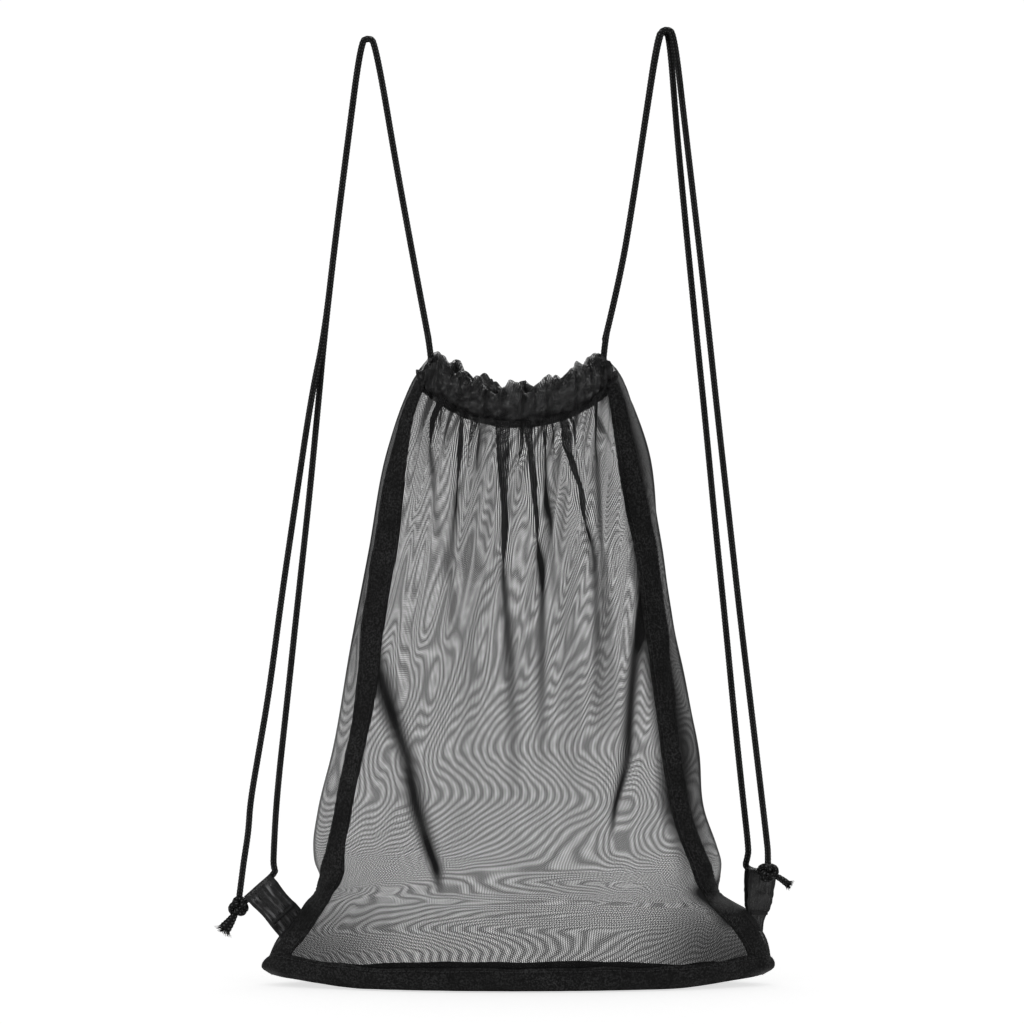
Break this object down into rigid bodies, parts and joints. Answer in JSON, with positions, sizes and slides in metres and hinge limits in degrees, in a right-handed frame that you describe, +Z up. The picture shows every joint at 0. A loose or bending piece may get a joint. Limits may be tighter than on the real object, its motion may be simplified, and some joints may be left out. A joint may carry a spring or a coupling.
{
  "type": "mesh drawstring bag",
  "caption": "Open mesh drawstring bag with a gathered mouth casing, bound side and bottom seams, and looped drawcords knotted to ribbon tabs at the bottom corners.",
  "frame": {"origin": "middle of the flat underside that the filled bag stands on", "axes": "+Z up through the mouth, -Y out of the front face, +X to the right seen from the front"},
  "size_m": [0.3991, 0.128, 0.6635],
  "materials": {
    "net": "fine see-through black net",
    "hem_net": "doubled and gathered black net",
    "seam_tape": "matte woven binding tape",
    "thread": "black polyester thread",
    "cord": "braided polyester cord",
    "ribbon": "satin ribbon with a soft gloss"
  },
  "bodies": {
    "root": {"front_panel": "net", "back_panel": "net", "front_casing": "hem_net", "back_casing": "hem_net", "left_side_tape": "seam_tape", "right_side_tape": "seam_tape", "bottom_tape": "seam_tape", "tape_stitching": "thread", "casing_stitching": "thread", "left_tab_bartack": "thread", "right_tab_bartack": "thread", "left_drawcord_casing_run": "cord", "right_drawcord_casing_run": "cord", "left_tab_cord_run": "cord", "right_tab_cord_run": "cord", "left_knot": "cord", "right_knot": "cord", "left_cord_tail": "cord", "right_cord_tail": "cord", "left_tab": "ribbon", "right_tab": "ribbon"},
    "left_strap": {"left_front_strand": "cord", "left_back_strand": "cord"},
    "right_strap": {"right_front_strand": "cord", "right_back_strand": "cord"}
  },
  "joints": [
    {"name": "left_strap_swing", "type": "hinge", "parent": "root", "child": "left_strap", "pos_m": [-0.0603, 0, 0.442], "axis": [0.308, 0, 0.9514], "range_deg": [-80, 80]},
    {"name": "right_strap_swing", "type": "hinge", "parent": "root", "child": "right_strap", "pos_m": [0.0603, 0, 0.442], "axis": [-0.2891, 0, 0.9573], "range_deg": [-80, 80]}
  ]
}
